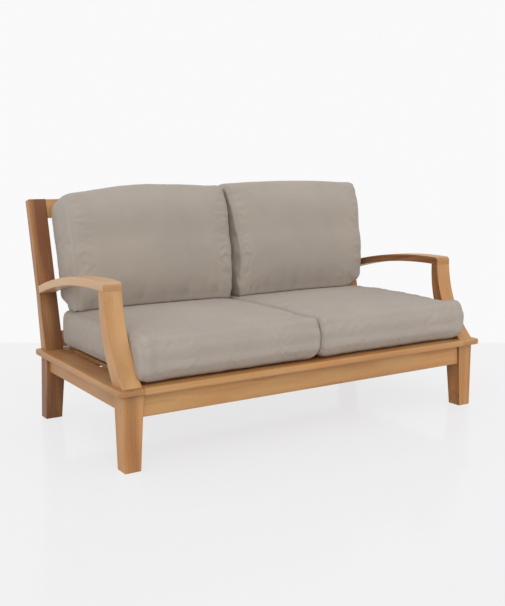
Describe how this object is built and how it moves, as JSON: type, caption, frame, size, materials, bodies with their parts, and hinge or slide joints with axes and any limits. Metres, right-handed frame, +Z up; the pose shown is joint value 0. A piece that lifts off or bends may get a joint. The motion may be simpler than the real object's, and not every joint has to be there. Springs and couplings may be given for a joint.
{
  "type": "patio loveseat",
  "caption": "Low patio loveseat: wooden frame with a flat deck, arched armrests on swept posts and a slatted raked back, with loose padded seat and back cushions.",
  "frame": {"origin": "on the ground, below the middle of the overall width and of the overall depth", "axes": "+Z up, the seat's front faces -Y, +X to the right for someone who stands in front of it"},
  "size_m": [1.6, 0.8998, 0.903],
  "materials": {
    "teak": "oiled, satin",
    "dowel": "plain",
    "stainless": "satin",
    "cushion_fabric": "matte woven",
    "foam": "matte"
  },
  "bodies": {
    "frame": {"front_left_leg": "teak", "front_right_leg": "teak", "rear_left_leg": "teak", "rear_right_leg": "teak", "front_apron": "teak", "rear_apron": "teak", "left_apron": "teak", "right_apron": "teak", "left_deck_board": "teak", "right_deck_board": "teak", "front_deck_board": "teak", "rear_deck_board": "teak", "front_seat_bearer": "teak", "middle_seat_bearer": "teak", "rear_seat_bearer": "teak", "seat_slat_1": "teak", "seat_slat_2": "teak", "seat_slat_3": "teak", "seat_slat_4": "teak", "seat_slat_5": "teak", "seat_slat_6": "teak", "seat_slat_7": "teak", "seat_slat_8": "teak", "seat_slat_9": "teak", "seat_slat_10": "teak", "seat_slat_11": "teak", "seat_slat_12": "teak", "left_back_stile": "teak", "left_armrest": "teak", "left_arm_post": "teak", "right_back_stile": "teak", "right_armrest": "teak", "right_arm_post": "teak", "lower_back_rail": "teak", "crest_rail": "teak", "back_slat_1": "teak", "back_slat_2": "teak", "back_slat_3": "teak", "back_slat_4": "teak", "back_slat_5": "teak", "back_slat_6": "teak", "back_slat_7": "teak", "back_slat_8": "teak", "back_slat_9": "teak", "back_slat_10": "teak", "deck_dowels": "dowel", "upright_dowels": "dowel", "arm_dowels": "dowel", "frame_bolts": "stainless", "bolt_plugs": "teak", "slat_screws": "stainless"},
    "left_seat": {"left_seat_cushion": "cushion_fabric", "left_seat_foam": "foam"},
    "left_back": {"left_back_cushion": "cushion_fabric", "left_back_foam": "foam"},
    "right_seat": {"right_seat_cushion": "cushion_fabric", "right_seat_foam": "foam"},
    "right_back": {"right_back_cushion": "cushion_fabric", "right_back_foam": "foam"}
  },
  "joints": [
    {"name": "left_seat_lift", "type": "slide", "parent": "frame", "child": "left_seat", "axis": [0, 0, 1], "range_m": [0, 0.36]},
    {"name": "left_back_lift", "type": "slide", "parent": "left_seat", "child": "left_back", "axis": [0, 0, 1], "range_m": [0, 0.42]},
    {"name": "right_seat_lift", "type": "slide", "parent": "frame", "child": "right_seat", "axis": [0, 0, 1], "range_m": [0, 0.36]},
    {"name": "right_back_lift", "type": "slide", "parent": "right_seat", "child": "right_back", "axis": [0, 0, 1], "range_m": [0, 0.42]}
  ]
}
